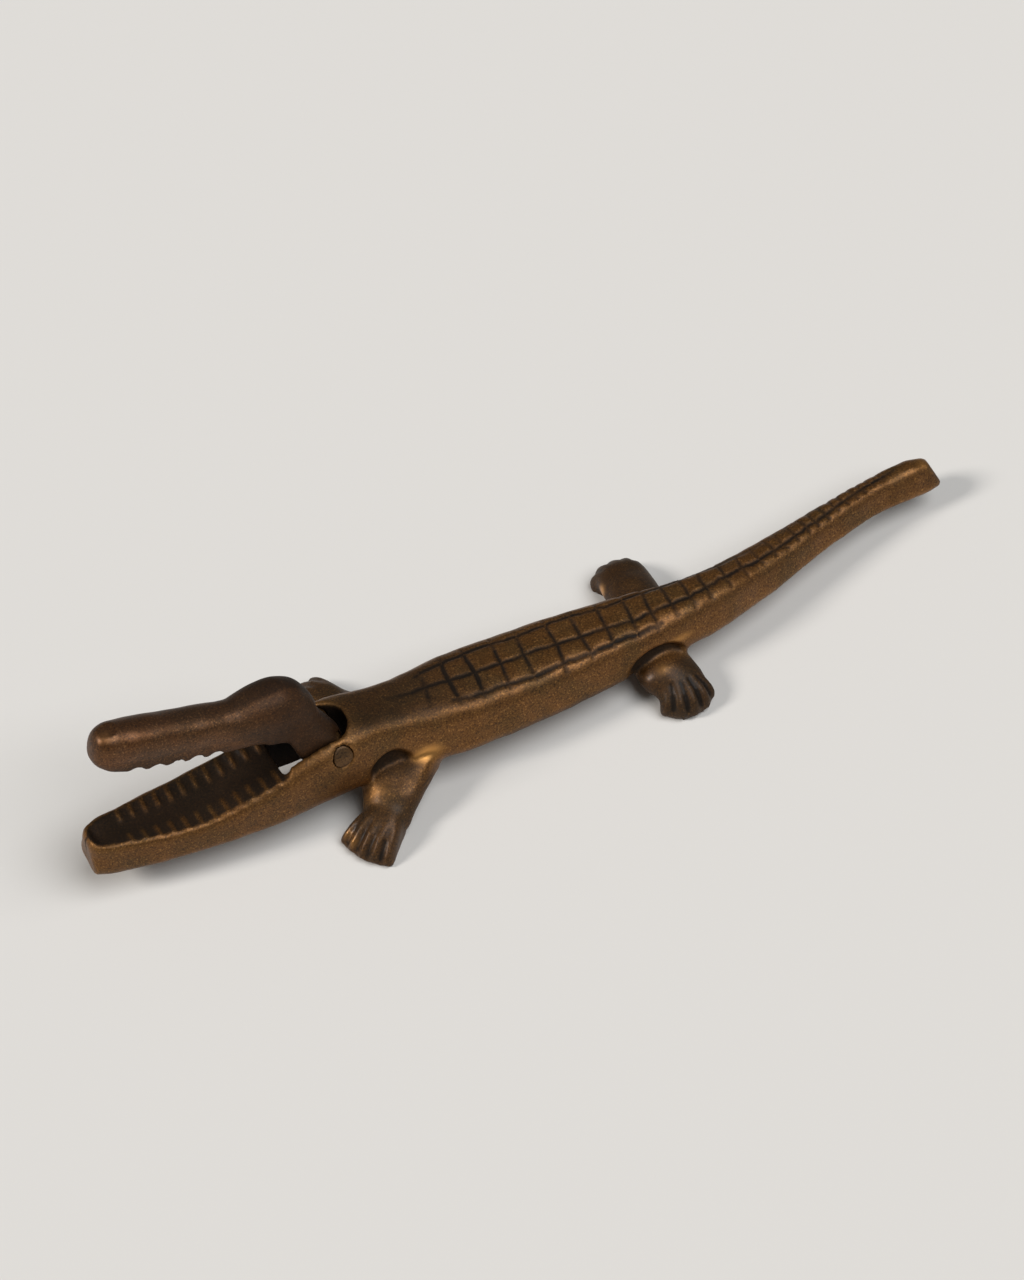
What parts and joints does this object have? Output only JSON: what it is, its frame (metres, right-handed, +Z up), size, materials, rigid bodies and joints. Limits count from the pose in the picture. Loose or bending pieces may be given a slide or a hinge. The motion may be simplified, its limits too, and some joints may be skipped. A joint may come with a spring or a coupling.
{
  "type": "crocodile nutcracker",
  "caption": "Cast crocodile nutcracker: the hinged upper jaw presses a nut down into the ribbed trough of the lower jaw, which is one casting with the body, legs and tail.",
  "frame": {"origin": "on the table, under the middle of the part's bounding box with the mouth open", "axes": "+X from the snout to the tail, +Y to the animal's right side, +Z up"},
  "size_m": [0.2494, 0.0618, 0.0569],
  "materials": {
    "patinated_brass": "satin dark brown patina, golden where it is rubbed",
    "reddish_patinated_brass": "satin reddish brown patina",
    "dark_pin": "dull dark brown"
  },
  "bodies": {
    "body": {"body_casting": "patinated_brass", "pivot_pin": "dark_pin"},
    "jaw": {"upper_jaw": "reddish_patinated_brass"}
  },
  "joints": [
    {"name": "jaw_hinge", "type": "hinge", "parent": "body", "child": "jaw", "pos_m": [-0.06067, -0.00263, 0.0238], "axis": [0, 1, 0], "range_deg": [-23.8, 28]}
  ]
}
